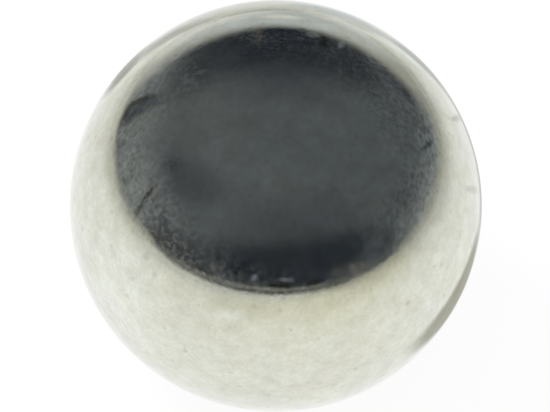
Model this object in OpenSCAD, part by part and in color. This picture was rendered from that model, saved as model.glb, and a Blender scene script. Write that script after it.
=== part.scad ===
// Steel ball: one solid sphere, ground and lapped to a mirror finish.
// Millimetres. The origin is the ball's centre, and +Z is up.

/* [Ball] */
// Diameter of the ball
ball_d = 10; // [1:0.5:50]

/* [Hidden] */
// Facets round a great circle, for the preview
$fn = 128;
// Radius of the ball
ball_r = ball_d / 2;

// The ball is hardened steel right through, with no bore, flat or seam
module ball() {
    color("gainsboro")
        sphere(r = ball_r);
}

ball();
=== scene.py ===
"""A polished steel ball on a sheet of white paper, in a dark room that its upper side mirrors."""

import math
from collections import namedtuple

import bpy
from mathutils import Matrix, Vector


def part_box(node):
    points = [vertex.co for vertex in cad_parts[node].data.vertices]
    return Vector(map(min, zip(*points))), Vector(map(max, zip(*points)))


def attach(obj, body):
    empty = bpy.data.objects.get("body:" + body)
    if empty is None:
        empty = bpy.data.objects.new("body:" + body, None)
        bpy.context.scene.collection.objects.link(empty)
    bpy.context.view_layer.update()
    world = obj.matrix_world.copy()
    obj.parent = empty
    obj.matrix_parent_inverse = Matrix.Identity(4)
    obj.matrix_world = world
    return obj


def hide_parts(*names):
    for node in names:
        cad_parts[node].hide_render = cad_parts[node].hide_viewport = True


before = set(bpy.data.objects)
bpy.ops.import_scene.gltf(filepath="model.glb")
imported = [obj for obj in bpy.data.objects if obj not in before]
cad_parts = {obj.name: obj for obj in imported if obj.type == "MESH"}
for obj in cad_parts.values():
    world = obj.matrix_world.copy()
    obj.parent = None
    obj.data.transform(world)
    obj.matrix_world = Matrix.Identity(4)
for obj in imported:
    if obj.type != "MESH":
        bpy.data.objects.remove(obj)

bl_info = {
    "name": "Steel Ball",
    "version": (1, 0, 0),
    "blender": (4, 5, 0),
    "location": "3D View > Sidebar > Steel Ball",
    "description": "Builds a polished steel ball with the paper, room and light round it",
    "category": "Add Mesh",
}

# The ball's size comes from the frame, whose origin is the ball's centre
BALL_NODE = "ball"
BALL_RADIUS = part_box(BALL_NODE)[1].z
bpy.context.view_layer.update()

# How far a noise is spread out from its middle
NOISE_SPREAD = 4.0
# The steel's factor where it is lightest and where it is darkest, and its two tints
LIGHTEST = 1.14
DARKEST = 0.90
WARM_TINT = (1.015, 1.0, 0.94)
COOL_TINT = (0.985, 0.995, 1.035)
# The smallest speck, as a share of the given radius, and the faintest one's strength
SMALLEST_SPECK = 0.4
FAINTEST_SPECK = 0.2
# Where the noise of the grime starts to show and where it shows in full
GRIME_FROM = 0.45
GRIME_TO = 0.65
# The thinnest and the thickest patches of grime away from the dusty places
THIN_PATCH = 0.1
THICK_PATCH = 0.5
# The middles of the dusty places, in ball radii, each with its strength: low on the crown's left
# and high on its right. Each place thins out from its core to its reach.
DUSTY_PLACES = (
    ((-0.42, -0.77, 0.49), 1.0),
    ((0.55, 0.12, 0.82), 0.3),
)
DUSTY_CORE = 0.2
DUSTY_REACH = 0.75
# The middle of the wiped crown, on the ball's upper side and a little towards the camera, and how
# many of its clean radii away the grime is back in full
CROWN = (0.0, -0.52, 0.854)
CROWN_FADE = 1.6
# The grime's colour, the specks' factor on the steel's colour, and how far each covers the steel
GRIME_COLOUR = (0.56, 0.56, 0.52)
GRIME_COVER = 0.4
SPECK_TONE = 0.62
SPECK_COVER = 0.6
# How much less of a metal specks and grime are, and how much rougher specks and clouds are
SPECK_FILM = 0.02
GRIME_FILM = 0.09
SPECK_ROUGHNESS = 0.1
CLOUD_ROUGHNESS = 0.03
# The heights of pits and grain in the bump, its strength, and its depth in ball radii
PIT_HEIGHT = -0.3
GRAIN_HEIGHT = 0.06
BUMP_STRENGTH = 0.25
BUMP_DEPTH = 0.004

# The picture's frame, in pixels, and where the ball's outline lies in it
PICTURE_WIDTH = 550
PICTURE_HEIGHT = 412
OUTLINE_RADIUS = 206.1
OUTLINE_CENTRE = (275.8, 205.85)
# The camera's sensor in millimetres, and how near and how far it sees, in metres
SENSOR_WIDTH = 36.0
CLIP_START = 0.01
CLIP_END = 20.0

# A soft lamp: degrees round from straight ahead, degrees up, and its width in metres
Lamp = namedtuple("Lamp", "azimuth elevation width")
KEY_LAMP = Lamp(-82, 60, 0.20)
FILL_LAMP = Lamp(170, 68, 0.35)
# From each lamp to the ball's centre, in metres
LAMP_DISTANCE = 0.45

# A soft oval of one tone, laid over what comes before it. Turn is counter-clockwise, in degrees.
Oval = namedtuple("Oval", "across up half_width half_height edge tone turn", defaults=(0,))

# Hues of what the ball mirrors, each for a tone of 1
GREY = (1.00, 1.00, 1.00)
COOL = (0.95, 1.00, 1.05)
BLUISH = (0.89, 0.96, 1.15)
INKY = (0.70, 0.92, 1.38)
CREAM = (1.02, 1.02, 0.96)
SANDY = (1.05, 1.03, 0.92)
ROSY = (1.14, 0.94, 0.92)
FAINT_ROSE = (1.06, 0.98, 0.96)
FAINT_GREEN = (0.98, 1.01, 0.98)
FAINT_BLUE = (0.99, 1.00, 1.03)
# Plain colours
WHITE = (1.0, 1.0, 1.0)
BLACK = (0.0, 0.0, 0.0)


def tone(level, hue=GREY):
    """A hue at a level of linear light, where 1 is white paper."""
    return tuple(level * part for part in hue)


# What the ball mirrors above the paper: the room's light and shade, painted as glowing tones,
# as degrees round the room and degrees above the ball's centre. Across is 0 away from the camera,
# 90 on the right and -90 on the left.
ROOM = {
    "pale wall on the left": Oval(-75, 2, 45, 23, 0.85, tone(0.205, COOL), 8),
    "pale wall on the right": Oval(78, -3, 32, 11.5, 0.7, tone(0.23, COOL)),
    "dim ceiling on the left": Oval(-112, 38, 22, 9, 0.85, tone(0.066, BLUISH), -10),
    "dim ceiling by the camera": Oval(168, 30, 31, 17, 0.85, tone(0.057, BLUISH)),
    "dim ceiling at the back": Oval(5, 60, 42, 12, 0.85, tone(0.06, BLUISH)),
    "dark blotch on the left": Oval(-97, 34.5, 6, 3, 0.6, tone(0.055, BLUISH), -40),
    "bright patch on the left wall": Oval(-104, 8, 6, 7, 0.5, tone(0.2, COOL)),
    "dim shelf on the left": Oval(-128, 8, 22, 9, 0.7, tone(0.056, BLUISH), 5),
    "dark doorway at the back": Oval(1, 34, 48, 21, 0.45, tone(0.022, INKY)),
    "dark wall behind the camera": Oval(169, 13, 46, 13, 0.45, tone(0.022, INKY)),
    "skirting on the left": Oval(-70, 1, 20, 2, 0.5, tone(0.1, BLUISH)),
    "post on the left": Oval(-53, 10, 4.5, 16, 0.5, tone(0.08, BLUISH)),
    "dark edge of the post": Oval(-49.5, 9, 1.5, 10, 0.5, tone(0.043), 6),
    "foot of the post": Oval(-52, 2, 2.6, 2.8, 0.6, tone(0.03)),
    "cable on the wall": Oval(-98, 12, 1.3, 10, 0.5, tone(0.06)),
    "leaning bar on the right": Oval(67, 7, 8, 0.9, 0.5, tone(0.08, BLUISH), 42),
    "pale streak at the back": Oval(-6, 23, 1.5, 10, 0.5, tone(0.05), 8),
    "dark streak at the back": Oval(17, 25, 1.5, 6, 0.5, tone(0.005, INKY), -18),
    "lamp at the back": Oval(12, 21, 2.2, 2.8, 0.5, tone(0.12, COOL)),
    "narrow lamp at the back": Oval(22, 20, 1, 3.8, 0.5, tone(0.15, BLUISH), -15),
    "dark gap beside the card": Oval(42, 14, 9, 6.5, 0.45, tone(0.065, BLUISH), -20),
    "lamp by the camera": Oval(174.5, 5.6, 3.4, 1.2, 0.5, tone(0.13, COOL), 5),
    "small lamp by the camera": Oval(-169, 6.3, 1.3, 1.9, 0.5, tone(0.17, BLUISH), 40),
    "dark thing under the lamp": Oval(178.5, 2.5, 6, 1.2, 0.4, tone(0.005)),
    "dark thing beside the leg": Oval(160, 2.2, 4.5, 1.6, 0.4, tone(0.005)),
    "dark thing on the left": Oval(-115.5, 4.2, 7, 1.2, 0.5, tone(0.04, ROSY), 3),
    "small dark thing on the left": Oval(-139, 3.5, 4.5, 1.5, 0.5, tone(0.045)),
    "dark thing on the right": Oval(121, 6, 8, 5.5, 0.6, tone(0.055, BLUISH)),
    "rosy thing on the right": Oval(137, 0.5, 7, 3.4, 0.5, tone(0.1, FAINT_ROSE), 35),
    "leg behind the camera": Oval(148.5, 4, 3, 3.5, 0.6, tone(0.062), -5),
    "second leg behind the camera": Oval(-148.5, 5.5, 3.5, 4.5, 0.7, tone(0.09, COOL)),
    "near edge of the paper": Oval(-165, 0.2, 48, 1.3, 0.5, tone(0.18, CREAM), 1.2),
    "brown thing on the paper": Oval(-108, 1.5, 5, 1.5, 0.5, tone(0.3, SANDY)),
    "gap under the near edge": Oval(170, -1.65, 36, 0.75, 0.5, tone(0.09, SANDY), 1.4),
}
# The pale card that stands behind the ball, with two wings in painted shade, a paler middle in
# painted light and bright places of painted light at its foot, and the paper in front of its wings
CARD = {
    "left wing of the card": Oval(-28, -3, 29, 14.2, 0.35, tone(0.41), 30),
    "right wing of the card": Oval(24, -1, 30, 14.5, 0.4, tone(0.385, CREAM), -15),
    "middle of the card": Oval(3, -3, 29, 19, 0.25, tone(0.555, COOL), -5),
    "bright foot of the card on the left": Oval(-18, -5, 16, 8, 0.7, tone(0.78)),
    "bright foot of the card on the right": Oval(16, -5, 8, 4.5, 0.7, tone(0.74)),
    "bright spot on the card": Oval(1, 5, 4.5, 2.5, 0.6, tone(0.74)),
    "paper in front of the left wing": Oval(-47, -4, 13, 3.5, 0.6, tone(0.62, CREAM)),
    "paper in front of the right wing": Oval(34, -4.5, 14, 2.6, 0.6, tone(0.54, CREAM)),
}
# The flecks along the walls thin out between two elevations, in degrees, down to a least strength
FLECKS_FULL = 8.0
FLECKS_THIN = 32.0
FLECKS_LEAST = 0.08
# Where the flecks at the back reach higher up than along the other walls
CLUTTERED_BACK = Oval(28, 26, 48, 20, 0.6, None)
# The share of broad clouds in the flecks, and the factors of the darkest and the palest fleck
FLECK_CLOUD = 0.4
DARK_FLECK = tone(0.4)
PALE_FLECK = tone(1.6)
# How strongly the flecks' hue changes, and the hues at both ends
FLECK_HUE = 0.4
WARM_FLECK = (1.06, 0.98, 0.97)
COLD_FLECK = (0.88, 1.01, 1.12)
# The paper's tone beyond the floor's rim, dimmed by painted shade, and its dimmer tone on the right
PAPER_FAR = tone(0.63, CREAM)
PAPER_DIM = tone(0.435, SANDY)
# How the paper's rim runs round, with dips, rises and softness in degrees: lower and crisper
# towards the camera, dim on the right, and higher on the left
NEAR_RIM = Oval(158, 0, 50, 1, 0.35, None)
CRISP_RIM = Oval(182, 0, 70, 1, 0.12, None)
RIGHT_RIM = Oval(98, 0, 66, 1, 0.15, None)
LEFT_RIM = Oval(-90, 0, 30, 1, 0.5, None)
NEAR_DIP = -1.45
LEFT_RISE = 1.8
RIM_SOFTNESS = 4.5
CRISP_SOFTNESS = 1.5
RIM_UNEVENNESS = 0.6
# How the painted shade on the mirrored paper deepens with distance, in ball radii, and towards
# the right, and its darkest
FADE_START = 1.08
FADE_SLOPE = 0.035
RIGHT_FROM = 2.0
RIGHT_TO = 9.0
RIGHT_DROP = 0.15
FADE_DARKEST = 0.3
# The paper's hue close to the ball and far off, and where it changes, in ball radii
PAPER_NEAR_HUE = (1.0, 1.0, 1.03)
PAPER_FAR_HUE = (1.0, 1.0, 0.99)
HUE_FROM = 1.5
HUE_TO = 10.0

# The ball's painted shadows on the paper and the painted light that it throws beside them, as factors
# on the paper's own light in the ball's mirror. Across is to the right and up is away from the camera,
# in ball radii.
PAINTED_SHADOWS_AND_LIGHTS = {
    "broad shadow behind": Oval(-0.4, 8, 2.3, 5, 0.2, tone(0.88), 4),
    "left side of the shadow": Oval(-1.8, 3.2, 0.34, 1.25, 0.5, tone(0.48, CREAM), 38),
    "left side further off": Oval(-2.0, 5.4, 0.52, 2.3, 0.6, tone(0.62), 15),
    "right side of the shadow": Oval(1.45, 3.1, 0.32, 1.2, 0.5, tone(0.62), -18),
    "right side further off": Oval(1.05, 5.4, 0.78, 2.1, 0.4, tone(0.75, COOL), -5),
    "edge of the shadow on the right": Oval(1.28, 1.5, 0.22, 1, 0.5, tone(0.64), 0),
    "far end of the shadow": Oval(-0.8, 16, 1.5, 7.5, 0.5, tone(0.75, FAINT_GREEN), 2),
    "bright line on the left": Oval(-3.25, 5.2, 0.3, 2, 0.7, tone(1.1), 24),
    "bright line further off": Oval(-4.1, 9.2, 0.45, 2.2, 0.7, tone(1.14, COOL), 24),
    "bright line on the right": Oval(2.6, 6, 0.3, 2.4, 0.7, tone(1.1, COOL), -13),
    "light beside it on the left": Oval(-5, 13.5, 1.7, 6.5, 0.6, tone(1.14), 15),
    "light beside it on the right": Oval(3.6, 12.5, 0.9, 5.5, 0.6, tone(1.25, COOL), -12),
    "light further off on the right": Oval(5.4, 11.5, 1.5, 4, 0.7, tone(1.08), -22),
    # Two thin darker lines painted into the mirrored paper on the right
    "dark line on the right": Oval(2.3, 2.52, 0.9, 0.05, 0.6, tone(0.72), 35),
    "faint dark line on the right": Oval(2.4, 1.25, 0.6, 0.06, 0.6, tone(0.8), 9),
    "left side furthest off": Oval(-2.1, 7.6, 0.55, 1.9, 0.6, tone(0.7), 12),
    "right side furthest off": Oval(2.1, 7.6, 0.5, 1.8, 0.6, tone(0.87), -15),
    "near shadow": Oval(1.26, 0.1, 0.27, 0.62, 0.3, tone(0.47, SANDY), -22),
    "bright light on the left": Oval(-2.3, -0.7, 1, 0.5, 0.8, tone(1.13, FAINT_BLUE), 15),
    "bright paper on the left": Oval(-11, -2, 8, 5, 0.3, tone(1.09), 5),
    "dim paper in front": Oval(8, -8, 13, 5, 0.4, tone(0.89, SANDY), -12),
    "bright paper on the near left": Oval(-1.6, -3.8, 0.5, 0.8, 0.8, tone(1.09)),
}


def add(tree, kind, inputs=None, **options):
    """Adds a node, sets its options, and sets or links its inputs by name or number."""
    node = tree.nodes.new(kind)
    for name, value in options.items():
        setattr(node, name, value)
    for key, value in (inputs or {}).items():
        if isinstance(value, bpy.types.NodeSocket):
            tree.links.new(value, node.inputs[key])
        else:
            node.inputs[key].default_value = value
    return node


def calc(tree, operation, *values, clamp=False):
    """One step of arithmetic on numbers."""
    inputs = dict(enumerate(values))
    return add(tree, "ShaderNodeMath", inputs, operation=operation, use_clamp=clamp).outputs[0]


def ease(tree, value, start, end, low=0.0, high=1.0):
    """A smooth step from low at start to high at end."""
    inputs = {"Value": value, "From Min": start, "From Max": end, "To Min": low, "To Max": high}
    node = add(tree, "ShaderNodeMapRange", inputs, interpolation_type="SMOOTHSTEP")
    return node.outputs["Result"]


def blend_colours(tree, share, first, second):
    """Goes from the first colour to the second as share goes from 0 to 1."""
    node = add(tree, "ShaderNodeMix", data_type="RGBA", clamp_factor=True)
    sockets = {socket.identifier: socket for socket in node.inputs}
    for name, value in (("Factor_Float", share), ("A_Color", first), ("B_Color", second)):
        if isinstance(value, bpy.types.NodeSocket):
            tree.links.new(value, sockets[name])
        elif name == "Factor_Float":
            sockets[name].default_value = value
        else:
            sockets[name].default_value = (*value, 1.0)
    return next(socket for socket in node.outputs if socket.identifier == "Result_Color")


def multiply_colours(tree, first, second):
    """One colour times another."""
    inputs = {0: first, 1: second}
    return add(tree, "ShaderNodeVectorMath", inputs, operation="MULTIPLY").outputs["Vector"]


def distance_between(tree, first, second):
    """How far one place lies from another."""
    inputs = {0: first, 1: second}
    return add(tree, "ShaderNodeVectorMath", inputs, operation="DISTANCE").outputs["Value"]


def mirror_rays(tree, rays):
    """1 for a ray that has come by way of a mirror or of glass."""
    return calc(tree, "MAXIMUM", rays.outputs["Is Glossy Ray"], rays.outputs["Is Transmission Ray"])


def mix_shaders(tree, share, first, second):
    """Goes from the first shader to the second as share goes from 0 to 1."""
    inputs = {0: share, 1: first.outputs[0], 2: second.outputs[0]}
    return add(tree, "ShaderNodeMixShader", inputs)


def new_group(name, inputs, outputs):
    """A shader node group with named inputs, each with a first value, and named outputs."""
    tree = bpy.data.node_groups.new(name, "ShaderNodeTree")
    kinds = {float: "NodeSocketFloat", tuple: "NodeSocketVector"}
    for label, value in inputs.items():
        socket = tree.interface.new_socket(label, in_out="INPUT", socket_type=kinds[type(value)])
        socket.default_value = value
    for label in outputs:
        tree.interface.new_socket(label, in_out="OUTPUT", socket_type="NodeSocketFloat")
    return tree, tree.nodes.new("NodeGroupInput").outputs, tree.nodes.new("NodeGroupOutput")


def place_group(tree, group, inputs):
    """Puts a node group into a material, with its own values."""
    return add(tree, "ShaderNodeGroup", inputs, node_tree=group)


def soft_oval_group():
    """A mask that is 1 inside a turned oval and fades out over its edge. Across wraps round at 180."""
    name = "soft_oval"
    if name in bpy.data.node_groups:
        return bpy.data.node_groups[name]
    first = {"Across": 0.0, "Up": 0.0, "Centre Across": 0.0, "Centre Up": 0.0,
             "Half Width": 1.0, "Half Height": 1.0, "Edge": 0.1, "Turn": 0.0}
    tree, given, result = new_group(name, first, ["Mask"])
    right = calc(tree, "SUBTRACT", given["Across"], given["Centre Across"])
    right = calc(tree, "WRAP", right, 180.0, -180.0)
    above = calc(tree, "SUBTRACT", given["Up"], given["Centre Up"])
    turn = calc(tree, "RADIANS", given["Turn"])
    sine = calc(tree, "SINE", turn)
    cosine = calc(tree, "COSINE", turn)
    across = calc(tree, "MULTIPLY_ADD", above, sine, calc(tree, "MULTIPLY", right, cosine))
    across = calc(tree, "DIVIDE", across, given["Half Width"])
    up = calc(tree, "MULTIPLY", above, cosine)
    up = calc(tree, "SUBTRACT", up, calc(tree, "MULTIPLY", right, sine))
    up = calc(tree, "DIVIDE", up, given["Half Height"])
    across_squared = calc(tree, "MULTIPLY", across, across)
    up_squared = calc(tree, "MULTIPLY", up, up)
    reach = calc(tree, "SQRT", calc(tree, "ADD", across_squared, up_squared))
    outer = calc(tree, "ADD", 1.0, given["Edge"])
    inner = calc(tree, "SUBTRACT", 1.0, given["Edge"])
    tree.links.new(ease(tree, reach, outer, inner), result.inputs["Mask"])
    return tree


def mottle_group():
    """Three noises from -1 to 1, each at its own scale: a broad cloud, a tint and a fine grain."""
    name = "mottle"
    if name in bpy.data.node_groups:
        return bpy.data.node_groups[name]
    first = {"Place": (0.0, 0.0, 0.0), "Cloud Scale": 2.0, "Tint Scale": 6.0, "Grain Scale": 10.0,
             "Grain Roughness": 0.8}
    tree, given, result = new_group(name, first, ["Cloud", "Tint", "Grain"])
    noises = (("Cloud", 2.0, 0.5), ("Tint", 4.0, 0.75), ("Grain", 4.0, given["Grain Roughness"]))
    for label, detail, roughness in noises:
        inputs = {"Vector": given["Place"], "Scale": given[label + " Scale"], "Detail": detail,
                  "Roughness": roughness}
        noise = add(tree, "ShaderNodeTexNoise", inputs)
        spread = calc(tree, "MULTIPLY_ADD", noise.outputs["Fac"], NOISE_SPREAD, -NOISE_SPREAD / 2)
        spread = calc(tree, "MINIMUM", calc(tree, "MAXIMUM", spread, -1.0), 1.0)
        tree.links.new(spread, result.inputs[label])
    return tree


def specks_group():
    """Small round specks, in a share of the cells of a random pattern, each of its own size."""
    name = "specks"
    if name in bpy.data.node_groups:
        return bpy.data.node_groups[name]
    first = {"Place": (0.0, 0.0, 0.0), "Scale": 14.0, "Share": 0.5, "Radius": 0.01}
    tree, given, result = new_group(name, first, ["Mask"])
    cells = add(tree, "ShaderNodeTexVoronoi", {"Vector": given["Place"], "Scale": given["Scale"]})
    chance = add(tree, "ShaderNodeSeparateColor", {"Color": cells.outputs["Color"]})
    chosen = calc(tree, "LESS_THAN", chance.outputs[0], given["Share"])
    radius = calc(tree, "MULTIPLY", given["Radius"], given["Scale"])
    radius = calc(tree, "MULTIPLY", radius, calc(tree, "ADD", chance.outputs[1], SMALLEST_SPECK))
    spot = ease(tree, cells.outputs["Distance"], radius, 0.0)
    strength = calc(tree, "MULTIPLY_ADD", chance.outputs[2], 1 - FAINTEST_SPECK, FAINTEST_SPECK)
    spot = calc(tree, "MULTIPLY", spot, strength)
    tree.links.new(calc(tree, "MULTIPLY", spot, chosen), result.inputs["Mask"])
    return tree


def grime_group():
    """Fine flecks of dust and dried oil in patches, with a clean crown where the ball was wiped."""
    name = "grime"
    if name in bpy.data.node_groups:
        return bpy.data.node_groups[name]
    first = {"Place": (0.0, 0.0, 0.0), "Fleck Scale": 60.0, "Patch Scale": 5.0, "Clean Radius": 0.5}
    tree, given, result = new_group(name, first, ["Mask"])
    inputs = {"Vector": given["Place"], "Scale": given["Fleck Scale"], "Detail": 1.0}
    flecks = add(tree, "ShaderNodeTexNoise", inputs).outputs["Fac"]
    inputs = {"Vector": given["Place"], "Scale": given["Patch Scale"], "Detail": 2.0}
    patches = add(tree, "ShaderNodeTexNoise", inputs).outputs["Fac"]
    flecks = ease(tree, flecks, GRIME_FROM, GRIME_TO)
    patches = ease(tree, patches, GRIME_FROM, GRIME_TO, THIN_PATCH, THICK_PATCH)
    for middle, strength in DUSTY_PLACES:
        away = distance_between(tree, given["Place"], middle)
        dusty = ease(tree, away, DUSTY_REACH, DUSTY_CORE, 0.0, strength)
        patches = calc(tree, "MAXIMUM", patches, dusty)
    away = distance_between(tree, given["Place"], CROWN)
    far = calc(tree, "MULTIPLY", given["Clean Radius"], CROWN_FADE)
    outside = ease(tree, away, given["Clean Radius"], far)
    mask = calc(tree, "MULTIPLY", calc(tree, "MULTIPLY", flecks, patches), outside)
    tree.links.new(mask, result.inputs["Mask"])
    return tree


def new_material(name):
    """A material with nodes, its Material Output, and the object's own place in ball radii."""
    material = bpy.data.materials.new(name)
    material.use_nodes = True
    tree = material.node_tree
    tree.nodes.clear()
    output = tree.nodes.new("ShaderNodeOutputMaterial")
    coordinates = tree.nodes.new("ShaderNodeTexCoord")
    inputs = {"Vector": coordinates.outputs["Object"], "Scale": (1 / BALL_RADIUS,) * 3}
    mapping = add(tree, "ShaderNodeMapping", inputs)
    return material, tree, output, mapping.outputs["Vector"]


def steel_material(finish):
    """Hardened steel, lapped to a mirror: faint clouding, dust specks and small pits."""
    material, tree, output, place = new_material("polished_steel")
    inputs = {"Place": place, "Cloud Scale": 2.2, "Tint Scale": 5.0, "Grain Scale": 10.0}
    grain = place_group(tree, mottle_group(), inputs)
    inputs = {"Place": place, "Scale": finish.speck_scale, "Share": finish.speck_share,
              "Radius": finish.speck_radius}
    specks = place_group(tree, specks_group(), inputs).outputs["Mask"]
    # The steel's own colour, a little lighter and darker in clouds and grain
    shade = calc(tree, "MULTIPLY", grain.outputs["Grain"], finish.mottling)
    shade = calc(tree, "MULTIPLY_ADD", grain.outputs["Cloud"], finish.clouding, shade)
    lighter = tuple(min(1.0, part * LIGHTEST) for part in finish.colour)
    darker = tuple(part * DARKEST for part in finish.colour)
    share = calc(tree, "ADD", shade, 0.5, clamp=True)
    colour = blend_colours(tree, share, darker, lighter)
    # Patches a little warmer and a little cooler
    share = calc(tree, "MULTIPLY_ADD", grain.outputs["Tint"], finish.tinting * 0.5, 0.5, clamp=True)
    colour = multiply_colours(tree, colour, blend_colours(tree, share, WARM_TINT, COOL_TINT))
    # Grime and specks lie on top of the steel
    inputs = {"Place": place, "Fleck Scale": 38.0, "Patch Scale": 4.0, "Clean Radius": 0.42}
    grime = place_group(tree, grime_group(), inputs).outputs["Mask"]
    grime = calc(tree, "MULTIPLY", grime, finish.grime)
    colour = blend_colours(tree, calc(tree, "MULTIPLY", grime, GRIME_COVER), colour, GRIME_COLOUR)
    dust = tuple(part * SPECK_TONE for part in finish.colour)
    colour = blend_colours(tree, calc(tree, "MULTIPLY", specks, SPECK_COVER), colour, dust)
    # Dust and film scatter light, so they are less of a metal than the steel
    film = calc(tree, "MULTIPLY_ADD", grain.outputs["Cloud"], 0.5, 0.5)
    film = calc(tree, "MULTIPLY", film, finish.film)
    film = calc(tree, "MULTIPLY_ADD", specks, SPECK_FILM, film)
    film = calc(tree, "MULTIPLY_ADD", grime, GRIME_FILM, film)
    metallic = calc(tree, "SUBTRACT", 1.0, film, clamp=True)
    roughness = calc(tree, "MULTIPLY_ADD", grain.outputs["Cloud"], CLOUD_ROUGHNESS, finish.roughness)
    roughness = calc(tree, "MULTIPLY_ADD", specks, SPECK_ROUGHNESS, roughness)
    height = calc(tree, "MULTIPLY", grain.outputs["Grain"], GRAIN_HEIGHT)
    height = calc(tree, "MULTIPLY_ADD", specks, PIT_HEIGHT, height)
    inputs = {"Height": height, "Strength": BUMP_STRENGTH, "Distance": BALL_RADIUS * BUMP_DEPTH}
    bump = add(tree, "ShaderNodeBump", inputs)
    inputs = {"Base Color": colour, "Metallic": metallic, "Roughness": roughness,
              "Normal": bump.outputs["Normal"]}
    shader = add(tree, "ShaderNodeBsdfPrincipled", inputs)
    tree.links.new(shader.outputs["BSDF"], output.inputs["Surface"])
    return material


def azimuth_and_elevation(tree, place):
    """The direction of a place from the ball's centre, in degrees."""
    unit = add(tree, "ShaderNodeVectorMath", {0: place}, operation="NORMALIZE").outputs["Vector"]
    parts = add(tree, "ShaderNodeSeparateXYZ", {"Vector": unit})
    azimuth = calc(tree, "ARCTAN2", parts.outputs["X"], parts.outputs["Y"])
    elevation = calc(tree, "ARCSINE", parts.outputs["Z"])
    return calc(tree, "DEGREES", azimuth), calc(tree, "DEGREES", elevation)


def oval_mask(tree, across, up, oval):
    """1 inside an oval and 0 outside it."""
    inputs = {"Across": across, "Up": up, "Centre Across": oval.across, "Centre Up": oval.up,
              "Half Width": oval.half_width, "Half Height": oval.half_height,
              "Edge": oval.edge, "Turn": oval.turn}
    return place_group(tree, soft_oval_group(), inputs).outputs["Mask"]


def lay_ovals(tree, across, up, ovals, under):
    """Lays soft ovals, one over another, on the colour under them."""
    for oval in ovals.values():
        under = blend_colours(tree, oval_mask(tree, across, up, oval), under, oval.tone)
    return under


def room_material(stage):
    """The dark room that the ball mirrors, painted in glowing light and shade: ceiling, walls, the
    paper's rim and the pale card.
    """
    material, tree, output, place = new_material("dark_room")
    azimuth, elevation = azimuth_and_elevation(tree, place)
    colour = lay_ovals(tree, azimuth, elevation, ROOM, tuple(stage.ceiling_colour))
    # Small things along the walls, too far away to make out, as flecks that thin out upwards
    inputs = {"Place": place, "Cloud Scale": 0.4, "Tint Scale": 0.5, "Grain Scale": 2.2,
              "Grain Roughness": 0.55}
    clutter = place_group(tree, mottle_group(), inputs)
    low_down = ease(tree, elevation, FLECKS_THIN, FLECKS_FULL, FLECKS_LEAST, 1.0)
    low_down = calc(tree, "MAXIMUM", low_down, oval_mask(tree, azimuth, elevation, CLUTTERED_BACK))
    flecks = calc(tree, "MULTIPLY_ADD", clutter.outputs["Cloud"], FLECK_CLOUD, clutter.outputs["Grain"])
    flecks = calc(tree, "MULTIPLY", calc(tree, "MULTIPLY", flecks, low_down), stage.clutter)
    share = calc(tree, "ADD", flecks, 0.5, clamp=True)
    colour = multiply_colours(tree, colour, blend_colours(tree, share, DARK_FLECK, PALE_FLECK))
    share = calc(tree, "MULTIPLY", clutter.outputs["Tint"], low_down)
    share = calc(tree, "MULTIPLY_ADD", share, FLECK_HUE, 0.5, clamp=True)
    colour = multiply_colours(tree, colour, blend_colours(tree, share, WARM_FLECK, COLD_FLECK))
    # The paper's rim: lower and crisper towards the camera, higher on the left, and in painted shade on
    # the right
    near = oval_mask(tree, azimuth, 0.0, NEAR_RIM)
    right = oval_mask(tree, azimuth, 0.0, RIGHT_RIM)
    crisp = oval_mask(tree, azimuth, 0.0, CRISP_RIM)
    rise = oval_mask(tree, azimuth, 0.0, LEFT_RIM)
    rim = calc(tree, "MULTIPLY_ADD", near, NEAR_DIP, stage.paper_rim)
    rim = calc(tree, "MULTIPLY_ADD", rise, LEFT_RISE, rim)
    rim = calc(tree, "MULTIPLY_ADD", clutter.outputs["Grain"], RIM_UNEVENNESS, rim)
    softness = calc(tree, "MULTIPLY_ADD", crisp, CRISP_SOFTNESS - RIM_SOFTNESS, RIM_SOFTNESS)
    low = calc(tree, "SUBTRACT", rim, softness)
    high = calc(tree, "ADD", rim, softness)
    rim_tone = blend_colours(tree, right, PAPER_FAR, PAPER_DIM)
    colour = blend_colours(tree, ease(tree, elevation, high, low), colour, rim_tone)
    colour = lay_ovals(tree, azimuth, elevation, CARD, colour)
    # The painted tones glow; the dome is no lamp and shows only in the ball's mirror
    glow = add(tree, "ShaderNodeEmission", {"Color": colour, "Strength": 1.0})
    tree.links.new(glow.outputs[0], output.inputs["Surface"])
    return material


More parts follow.
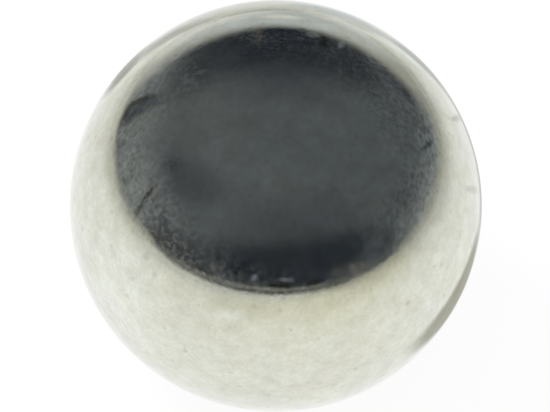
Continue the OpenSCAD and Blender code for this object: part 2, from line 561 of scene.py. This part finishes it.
def paper_material(stage):
    """White paper: seen by the camera with a soft shadow, by the ball as a glow in painted shade that
    deepens with distance.
    """
    material, tree, output, place = new_material("white_paper")
    parts = add(tree, "ShaderNodeSeparateXYZ", {"Vector": place})
    across = parts.outputs["X"]
    along = parts.outputs["Y"]
    reach = add(tree, "ShaderNodeVectorMath", {0: place}, operation="LENGTH").outputs["Value"]
    # Painted shade: the paper in the ball's mirror dims with distance and towards the right
    fade = calc(tree, "MULTIPLY_ADD", reach, -FADE_SLOPE, FADE_START)
    drop = ease(tree, across, RIGHT_FROM, RIGHT_TO, 0.0, RIGHT_DROP)
    fade = calc(tree, "MAXIMUM", calc(tree, "SUBTRACT", fade, drop), FADE_DARKEST)
    white = tuple(stage.paper_colour)
    mirrored = blend_colours(tree, fade, BLACK, white)
    hue = blend_colours(tree, ease(tree, reach, HUE_FROM, HUE_TO), PAPER_NEAR_HUE, PAPER_FAR_HUE)
    mirrored = multiply_colours(tree, mirrored, hue)
    # The ball's painted shadows and the painted light beside them
    painted_shadows_and_lights = lay_ovals(tree, across, along, PAINTED_SHADOWS_AND_LIGHTS, WHITE)
    mirrored = multiply_colours(tree, mirrored, painted_shadows_and_lights)
    # What the ball's mirror sees of the paper is this glow, not the lit paper
    seen_in_ball = add(tree, "ShaderNodeEmission", {"Color": mirrored, "Strength": 1.0})
    lit = add(tree, "ShaderNodeBsdfDiffuse", {"Color": (*white, 1.0)})
    plain_white = add(tree, "ShaderNodeEmission", {"Color": (*WHITE, 1.0), "Strength": 1.0})
    rays = tree.nodes.new("ShaderNodeLightPath")
    to_camera = calc(tree, "MULTIPLY", rays.outputs["Is Camera Ray"], stage.paper_lift)
    seen = mix_shaders(tree, to_camera, lit, plain_white)
    both = mix_shaders(tree, mirror_rays(tree, rays), seen, seen_in_ball)
    tree.links.new(both.outputs[0], output.inputs["Surface"])
    return material


def ball_tree():
    """A Geometry Nodes tree: an evenly divided cube, blown up to a true sphere, with no poles."""
    tree = bpy.data.node_groups.new("lapped_ball", "GeometryNodeTree")
    sockets = {"Geometry": "NodeSocketGeometry", "Radius": "NodeSocketFloat",
               "Divisions": "NodeSocketInt", "Finish": "NodeSocketMaterial"}
    named = {}
    for name, kind in sockets.items():
        named[name] = tree.interface.new_socket(name, in_out="INPUT", socket_type=kind).identifier
    tree.interface.new_socket("Geometry", in_out="OUTPUT", socket_type="NodeSocketGeometry")
    given = tree.nodes.new("NodeGroupInput").outputs
    result = tree.nodes.new("NodeGroupOutput")
    corners = calc(tree, "ADD", given["Divisions"], 1.0)
    inputs = {"Size": (2.0, 2.0, 2.0), "Vertices X": corners, "Vertices Y": corners,
              "Vertices Z": corners}
    cube = add(tree, "GeometryNodeMeshCube", inputs)
    # The tangent of an eighth turn is 1, so each face's grid lines lie at even angles
    at = tree.nodes.new("GeometryNodeInputPosition").outputs[0]
    steps = (("SCALE", {"Scale": math.pi / 4}), ("TANGENT", {}), ("NORMALIZE", {}),
             ("SCALE", {"Scale": given["Radius"]}))
    for operation, inputs in steps:
        at = add(tree, "ShaderNodeVectorMath", {0: at, **inputs}, operation=operation).outputs[0]
    ball = add(tree, "GeometryNodeSetPosition", {"Geometry": cube.outputs["Mesh"], "Position": at})
    ball = add(tree, "GeometryNodeSetShadeSmooth", {0: ball.outputs[0]})
    ball = add(tree, "GeometryNodeRealizeInstances", {0: ball.outputs[0]})
    ball = add(tree, "GeometryNodeSetMaterial", {0: ball.outputs[0], "Material": given["Finish"]})
    tree.links.new(ball.outputs[0], result.inputs["Geometry"])
    return tree, named


def plain_mesh(source, name):
    """The evaluated object as a plain mesh object with no modifier. The source is removed."""
    depsgraph = bpy.context.evaluated_depsgraph_get()
    mesh = bpy.data.meshes.new_from_object(source.evaluated_get(depsgraph))
    mesh.name = name
    bpy.data.objects.remove(source)
    piece = bpy.data.objects.new(name, mesh)
    bpy.context.scene.collection.objects.link(piece)
    return piece


def link_stage(name, mesh, material):
    """Adds one piece of the stage, which isn't part of the ball."""
    piece = bpy.data.objects.new(name, mesh)
    mesh.materials.append(material)
    bpy.context.scene.collection.objects.link(piece)
    return piece


def direction(azimuth, elevation):
    """The unit vector from the ball towards an azimuth and elevation, in radians. Azimuth 0 is +Y."""
    level = math.cos(elevation)
    return Vector((math.sin(azimuth) * level, math.cos(azimuth) * level, math.sin(elevation)))


class BallShape(bpy.types.PropertyGroup):
    """The ball's size."""
    radius: bpy.props.FloatProperty(
        name="Radius", description="Radius of the ball", default=BALL_RADIUS, min=0.0001,
        unit="LENGTH", precision=4)
    divisions: bpy.props.IntProperty(
        name="Divisions", description="Faces along each side of the cube that is blown up to the ball",
        default=96, min=8, max=120)


class SteelFinish(bpy.types.PropertyGroup):
    """The steel's surface."""
    colour: bpy.props.FloatVectorProperty(
        name="Steel", description="What the polished steel gives back of white light",
        subtype="COLOR", size=3, min=0.0, max=1.0, default=(0.69, 0.705, 0.615))
    roughness: bpy.props.FloatProperty(
        name="Roughness", description="How much the lapped surface blurs what it mirrors",
        default=0.06, min=0.0, max=1.0, subtype="FACTOR")
    clouding: bpy.props.FloatProperty(
        name="Clouding", description="Strength of the broad, faint clouds in the tone",
        default=0.12, min=0.0, max=1.0, subtype="FACTOR")
    tinting: bpy.props.FloatProperty(
        name="Tinting", description="Strength of the warmer and cooler patches",
        default=0.9, min=0.0, max=1.0, subtype="FACTOR")
    mottling: bpy.props.FloatProperty(
        name="Mottling", description="Strength of the fine grain in the tone",
        default=0.64, min=0.0, max=1.0, subtype="FACTOR")
    film: bpy.props.FloatProperty(
        name="Film", description="Share of light that the thin film of dust and oil scatters",
        default=0.02, min=0.0, max=1.0, subtype="FACTOR")
    grime: bpy.props.FloatProperty(
        name="Grime", description="Strength of the fine flecks of dust and dried oil",
        default=0.6, min=0.0, max=1.0, subtype="FACTOR")
    speck_scale: bpy.props.FloatProperty(
        name="Speck Spacing", description="Cells of the speck pattern along one ball radius",
        default=16.0, min=1.0)
    speck_share: bpy.props.FloatProperty(
        name="Speck Share", description="Share of the cells that hold a speck",
        default=0.6, min=0.0, max=1.0, subtype="FACTOR")
    speck_radius: bpy.props.FloatProperty(
        name="Speck Radius", description="Radius of a middling speck, in ball radii",
        default=0.02, min=0.0)


class BallStage(bpy.types.PropertyGroup):
    """The paper, the room, the light and the camera."""
    camera_elevation: bpy.props.FloatProperty(
        name="Camera Elevation", description="How far the camera looks down", subtype="ANGLE",
        default=math.radians(46))
    camera_distance: bpy.props.FloatProperty(
        name="Camera Distance", description="From the camera to the ball's centre", unit="LENGTH",
        default=0.28, min=0.05)
    paper_colour: bpy.props.FloatVectorProperty(
        name="Paper", description="Colour of the paper", subtype="COLOR", size=3, min=0.0, max=1.0,
        default=(1.0, 1.0, 0.99))
    paper_lift: bpy.props.FloatProperty(
        name="Paper Lift", description="How far the shadow on the paper is lifted to white",
        default=0.93, min=0.0, max=1.0, subtype="FACTOR")
    paper_size: bpy.props.FloatProperty(
        name="Paper Size", description="Half the width of the paper floor", unit="LENGTH", default=3.0)
    paper_rim: bpy.props.FloatProperty(
        name="Paper Rim", description="Elevation of the paper's far rim in the mirror, in degrees",
        default=-1.6)
    ceiling_colour: bpy.props.FloatVectorProperty(
        name="Ceiling", description="Tone of the dark room overhead", subtype="COLOR", size=3,
        min=0.0, max=1.0, default=(0.09, 0.098, 0.11))
    clutter: bpy.props.FloatProperty(
        name="Clutter", description="Strength of the small flecks mirrored along the walls",
        default=0.5, min=0.0, max=1.0, subtype="FACTOR")
    room_radius: bpy.props.FloatProperty(
        name="Room Radius", description="Radius of the mirrored room, in ball radii", default=14.0,
        min=4.0)
    key_power: bpy.props.FloatProperty(
        name="Key Light", description="Power of the soft lamp on the left", default=1.5, min=0.0,
        unit="POWER")
    fill_power: bpy.props.FloatProperty(
        name="Fill Light", description="Power of the soft lamp over the camera", default=0.5, min=0.0,
        unit="POWER")
    sky: bpy.props.FloatProperty(
        name="Sky", description="Strength of the even light from all round", default=0.6, min=0.0)


class STEELBALL_OT_ball(bpy.types.Operator):
    """Builds the ball and its steel, in place of the plain solid"""
    bl_idname = "steelball.ball"
    bl_label = "Ball"

    def execute(self, context):
        shape = context.scene.steelball_shape
        tree, named = ball_tree()
        source = bpy.data.objects.new("ball_source", bpy.data.meshes.new("ball_source"))
        context.scene.collection.objects.link(source)
        modifier = source.modifiers.new("Lapped ball", "NODES")
        modifier.node_group = tree
        modifier[named["Radius"]] = shape.radius
        modifier[named["Divisions"]] = shape.divisions
        modifier[named["Finish"]] = steel_material(context.scene.steelball_finish)
        piece = plain_mesh(source, "steel_ball")
        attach(piece, "root")
        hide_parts(BALL_NODE)
        return {"FINISHED"}


class STEELBALL_OT_stage(bpy.types.Operator):
    """Sets the paper, the room that the ball mirrors, the soft lamps and the camera"""
    bl_idname = "steelball.stage"
    bl_label = "Stage"

    def execute(self, context):
        stage = context.scene.steelball_stage
        self.lay_paper(stage)
        self.close_room(stage)
        self.light_scene(context, stage)
        self.aim_camera(context, stage)
        return {"FINISHED"}

    def lay_paper(self, stage):
        """The sheet that the ball lies on, one ball radius below its centre."""
        half = stage.paper_size
        level = -BALL_RADIUS
        mesh = bpy.data.meshes.new("paper")
        corners = [(-half, -half, level), (half, -half, level),
                   (half, half, level), (-half, half, level)]
        mesh.from_pydata(corners, [], [(0, 1, 2, 3)])
        link_stage("paper", mesh, paper_material(stage))

    def close_room(self, stage):
        """A glowing dome of painted light and shade that only the ball's mirror sees, so it stops no
        light and hides nothing.
        """
        bpy.ops.mesh.primitive_ico_sphere_add(
            subdivisions=6, radius=stage.room_radius * BALL_RADIUS)
        dome = bpy.context.object
        dome.name = "room_dome"
        dome.data.materials.append(room_material(stage))
        for rays in ("camera", "diffuse", "transmission", "volume_scatter", "shadow"):
            setattr(dome, "visible_" + rays, False)

    def light_scene(self, context, stage):
        """Two soft lamps that the ball doesn't mirror, and even light from all round."""
        lamps = (("key", KEY_LAMP, stage.key_power), ("fill", FILL_LAMP, stage.fill_power))
        for name, spot, power in lamps:
            light = bpy.data.lights.new(name, "AREA")
            light.shape = "DISK"
            light.size = spot.width
            light.energy = power
            lamp = bpy.data.objects.new(name, light)
            towards = direction(math.radians(spot.azimuth), math.radians(spot.elevation))
            lamp.location = towards * LAMP_DISTANCE
            lamp.rotation_euler = towards.to_track_quat("Z", "Y").to_euler()
            lamp.visible_glossy = False
            context.scene.collection.objects.link(lamp)
        world = bpy.data.worlds.new("even_light")
        context.scene.world = world
        world.use_nodes = True
        tree = world.node_tree
        tree.nodes.clear()
        rays = tree.nodes.new("ShaderNodeLightPath")
        seen = calc(tree, "MAXIMUM", rays.outputs["Is Camera Ray"], mirror_rays(tree, rays))
        even = add(tree, "ShaderNodeBackground", {"Color": (*WHITE, 1.0), "Strength": stage.sky})
        backdrop = add(tree, "ShaderNodeBackground", {"Color": (*WHITE, 1.0), "Strength": 1.0})
        mix = mix_shaders(tree, seen, even, backdrop)
        output = tree.nodes.new("ShaderNodeOutputWorld")
        tree.links.new(mix.outputs[0], output.inputs["Surface"])

    def aim_camera(self, context, stage):
        """Looks down at the ball through a long lens, so that the ball fills the picture."""
        data = bpy.data.cameras.new("camera")
        data.sensor_width = SENSOR_WIDTH
        # The camera sees a ball's outline at the angle whose sine is its radius over its distance
        outline_angle = math.asin(BALL_RADIUS / stage.camera_distance)
        outline_on_sensor = SENSOR_WIDTH * OUTLINE_RADIUS / PICTURE_WIDTH
        data.lens = outline_on_sensor / math.tan(outline_angle)
        data.clip_start = CLIP_START
        data.clip_end = CLIP_END
        camera = bpy.data.objects.new("camera", data)
        back = direction(math.pi, stage.camera_elevation)
        camera.rotation_euler = back.to_track_quat("Z", "Y").to_euler()
        turn = camera.rotation_euler.to_matrix()
        pixel = BALL_RADIUS / OUTLINE_RADIUS
        right = turn @ Vector((1, 0, 0)) * (PICTURE_WIDTH / 2 - OUTLINE_CENTRE[0]) * pixel
        up = turn @ Vector((0, 1, 0)) * (OUTLINE_CENTRE[1] - PICTURE_HEIGHT / 2) * pixel
        camera.location = back * stage.camera_distance + right + up
        context.scene.collection.objects.link(camera)
        context.scene.camera = camera
        context.scene.view_settings.view_transform = "Standard"


class STEELBALL_PT_panel(bpy.types.Panel):
    """Lists the sizes, the finish and the steps"""
    bl_idname = "STEELBALL_PT_panel"
    bl_label = "Steel Ball"
    bl_space_type = "VIEW_3D"
    bl_region_type = "UI"
    bl_category = "Steel Ball"

    def draw(self, context):
        scene = context.scene
        groups = (("Ball", scene.steelball_shape, STEELBALL_OT_ball),
                  ("Steel", scene.steelball_finish, None),
                  ("Stage", scene.steelball_stage, STEELBALL_OT_stage))
        for title, group, operator in groups:
            box = self.layout.box()
            box.label(text=title)
            for name in group.__annotations__:
                box.prop(group, name)
            if operator:
                box.operator(operator.bl_idname)


CLASSES = (BallShape, SteelFinish, BallStage,
           STEELBALL_OT_ball, STEELBALL_OT_stage, STEELBALL_PT_panel)


def register():
    for entry in CLASSES:
        bpy.utils.register_class(entry)
    bpy.types.Scene.steelball_shape = bpy.props.PointerProperty(type=BallShape)
    bpy.types.Scene.steelball_finish = bpy.props.PointerProperty(type=SteelFinish)
    bpy.types.Scene.steelball_stage = bpy.props.PointerProperty(type=BallStage)


def unregister():
    del bpy.types.Scene.steelball_stage
    del bpy.types.Scene.steelball_finish
    del bpy.types.Scene.steelball_shape
    for entry in reversed(CLASSES):
        bpy.utils.unregister_class(entry)


def main():
    register()
    bpy.ops.steelball.stage()
    bpy.ops.steelball.ball()


if __name__ == "__main__":
    main()
